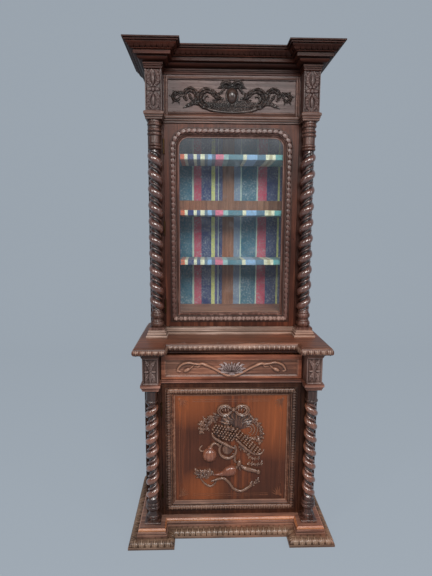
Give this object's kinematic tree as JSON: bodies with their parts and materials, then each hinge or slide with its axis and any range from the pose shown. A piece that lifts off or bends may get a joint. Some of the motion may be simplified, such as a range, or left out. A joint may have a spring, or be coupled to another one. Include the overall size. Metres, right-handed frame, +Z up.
{
  "type": "two-part buffet",
  "caption": "Carved oak buffet in two parts: a vitrine with a glazed door and cloth-covered shelves over a cupboard with a drawer, between twisted columns.",
  "frame": {"origin": "middle of the bottom of the bounding box, on the floor under the plinth", "axes": "+Z up, -Y to the front with the doors, +X to the right as seen from the front"},
  "size_m": [1.013, 0.588, 2.4],
  "materials": {
    "oak_dark": "dark stained oak, waxed",
    "oak": "brown stained oak, waxed",
    "oak_red": "red brown stained oak, waxed",
    "oak_raw": "plain oak",
    "brass": "aged satin",
    "iron": "dark satin",
    "glass": "clear polished",
    "striped_cloth": "short velvet pile, woven stripes"
  },
  "bodies": {
    "case": {"plinth_left": "oak_red", "plinth_right": "oak_red", "plinth_front": "oak_red", "lower_floor": "oak_raw", "lower_side_left": "oak", "lower_side_right": "oak", "lower_post_left": "oak", "lower_post_right": "oak", "lower_back": "oak_raw", "lower_shelf": "oak_raw", "drawer_rail": "oak_red", "drawer_runners": "oak_raw", "lower_block_left": "oak", "lower_block_right": "oak", "lower_column_left": "oak", "lower_column_right": "oak", "counter_top": "oak_red", "case_hinge_leaves": "brass", "upper_base": "oak", "vitrine_floor": "oak_red", "vitrine_ceiling": "oak_dark", "upper_side_left": "oak", "upper_side_right": "oak", "upper_post_left": "oak_dark", "upper_post_right": "oak_dark", "upper_back": "oak_red", "shelf_low": "oak_raw", "shelf_middle": "oak_raw", "shelf_high": "oak_raw", "shelf_cleats": "oak_raw", "back_lining": "striped_cloth", "shelf_covers": "striped_cloth", "upper_column_left": "oak_dark", "upper_column_right": "oak_dark", "upper_block_left": "oak_dark", "upper_block_right": "oak_dark", "architrave": "oak", "frieze_panel": "oak_dark", "frieze_carving": "oak_dark", "cornice_left": "oak_dark", "cornice_right": "oak_dark", "cornice_front": "oak_dark", "cornice_lid": "oak_raw"},
    "drawer": {"drawer_front": "oak_red", "drawer_box": "oak_raw", "drawer_bottom": "oak_raw"},
    "lower_door": {"lower_door_frame": "oak", "lower_door_moulding": "oak", "lower_door_panel": "oak_red", "lower_door_carving": "oak_red", "lower_door_hinges": "brass", "lower_door_lock": "iron"},
    "lower_bolt": {"lower_door_bolt": "brass"},
    "upper_door": {"upper_door_frame": "oak_dark", "upper_door_moulding": "oak_dark", "door_glass": "glass", "glass_beads": "oak_dark", "upper_door_hinges": "brass", "upper_door_lock": "iron"},
    "upper_bolt": {"upper_door_bolt": "brass"}
  },
  "joints": [
    {"name": "drawer_slide", "type": "slide", "parent": "case", "child": "drawer", "axis": [0, -1, 0], "range_m": [0, 0.3]},
    {"name": "lower_door_hinge", "type": "hinge", "parent": "case", "child": "lower_door", "pos_m": [-0.3495, -0.15, 0.433], "axis": [0, 0, -1], "range_deg": [0, 90]},
    {"name": "lower_bolt_slide", "type": "slide", "parent": "lower_door", "child": "lower_bolt", "axis": [1, 0, 0], "range_m": [0, 0.008]},
    {"name": "upper_door_hinge", "type": "hinge", "parent": "case", "child": "upper_door", "pos_m": [-0.3385, 0.02, 1.5505], "axis": [0, 0, -1], "range_deg": [0, 85]},
    {"name": "upper_bolt_slide", "type": "slide", "parent": "upper_door", "child": "upper_bolt", "axis": [1, 0, 0], "range_m": [0, 0.008]}
  ]
}
